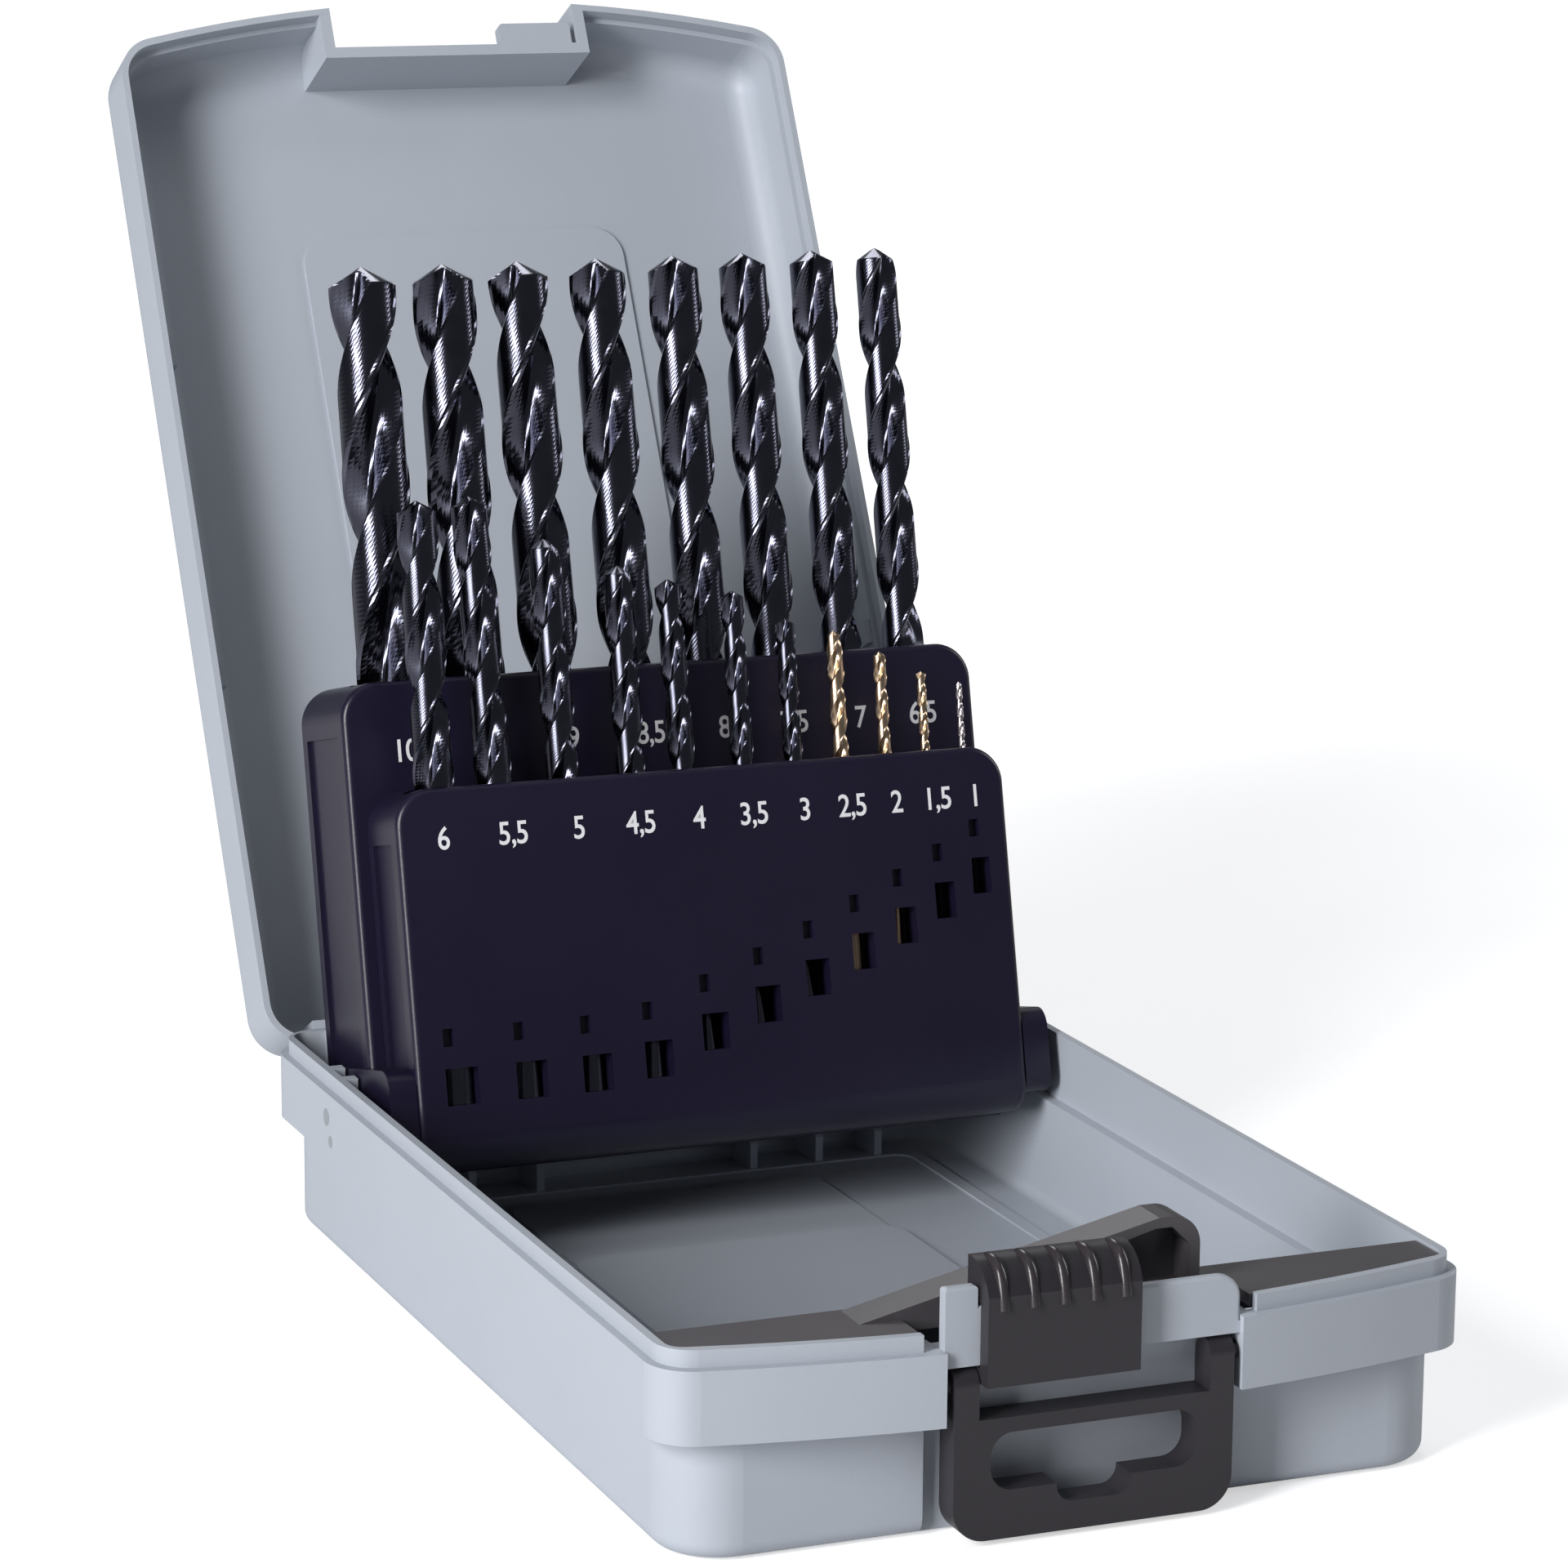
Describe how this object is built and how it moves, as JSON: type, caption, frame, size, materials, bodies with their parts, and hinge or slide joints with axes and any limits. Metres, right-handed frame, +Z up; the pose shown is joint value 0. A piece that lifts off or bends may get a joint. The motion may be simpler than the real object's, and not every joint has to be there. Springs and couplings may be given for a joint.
{
  "type": "drill bit case",
  "caption": "Hinged plastic drill bit case, open, its two-row holder tilted up with graduated twist drills; sliding latch and folding hanger at the front.",
  "frame": {"origin": "centre of the flat bottom of the base, on the surface it rests on", "axes": "+X right, +Y to the rear (the hinge), +Z up; the latch is at -Y"},
  "size_m": [0.1136, 0.2627, 0.1759],
  "materials": {
    "case_plastic": "satin light blue-grey",
    "holder_plastic": "satin near-black",
    "latch_plastic": "satin dark grey",
    "strip_plastic": "satin brown-black",
    "drill_steel": "black oxide on steel",
    "drill_steel_gold": "bronze-tinted steel",
    "drill_steel_bright": "bright steel",
    "pin_steel": "drawn steel"
  },
  "bodies": {
    "base": {"base_tray": "case_plastic", "catch_strip": "strip_plastic", "hinge_pin_left": "pin_steel", "hinge_pin_right": "pin_steel"},
    "lid": {"lid": "case_plastic"},
    "holder": {"rear_holder": "holder_plastic", "front_holder": "holder_plastic", "holder_foot_left": "holder_plastic", "holder_foot_right": "holder_plastic", "drill_10_0": "drill_steel", "drill_9_5": "drill_steel", "drill_9_0": "drill_steel", "drill_8_5": "drill_steel", "drill_8_0": "drill_steel", "drill_7_5": "drill_steel", "drill_7_0": "drill_steel", "drill_6_5": "drill_steel", "drill_6_0": "drill_steel", "drill_5_5": "drill_steel", "drill_5_0": "drill_steel", "drill_4_5": "drill_steel", "drill_4_0": "drill_steel", "drill_3_5": "drill_steel", "drill_3_0": "drill_steel", "drill_2_5": "drill_steel_gold", "drill_2_0": "drill_steel_gold", "drill_1_5": "drill_steel_gold", "drill_1_0": "drill_steel_bright"},
    "slider": {"latch_slider": "latch_plastic"},
    "hanger": {"hanger": "latch_plastic"}
  },
  "joints": [
    {"name": "lid_hinge", "type": "hinge", "parent": "base", "child": "lid", "pos_m": [0, 0.082, 0.0259], "axis": [1, 0, 0], "range_deg": [0, 118]},
    {"name": "holder_tilt", "type": "hinge", "parent": "base", "child": "holder", "pos_m": [0, 0.0557, 0.0225], "axis": [1, 0, 0], "range_deg": [0, 103.35]},
    {"name": "latch_slide", "type": "slide", "parent": "base", "child": "slider", "axis": [1, 0, 0], "range_m": [0, 0.0078]},
    {"name": "hanger_hinge", "type": "hinge", "parent": "base", "child": "hanger", "pos_m": [0, -0.0856, 0.021], "axis": [-1, 0, 0], "range_deg": [0, 90]}
  ],
  "couplings": [
    {"joint": "holder_tilt", "follows": "lid_hinge", "ratio": 0.8758}
  ]
}
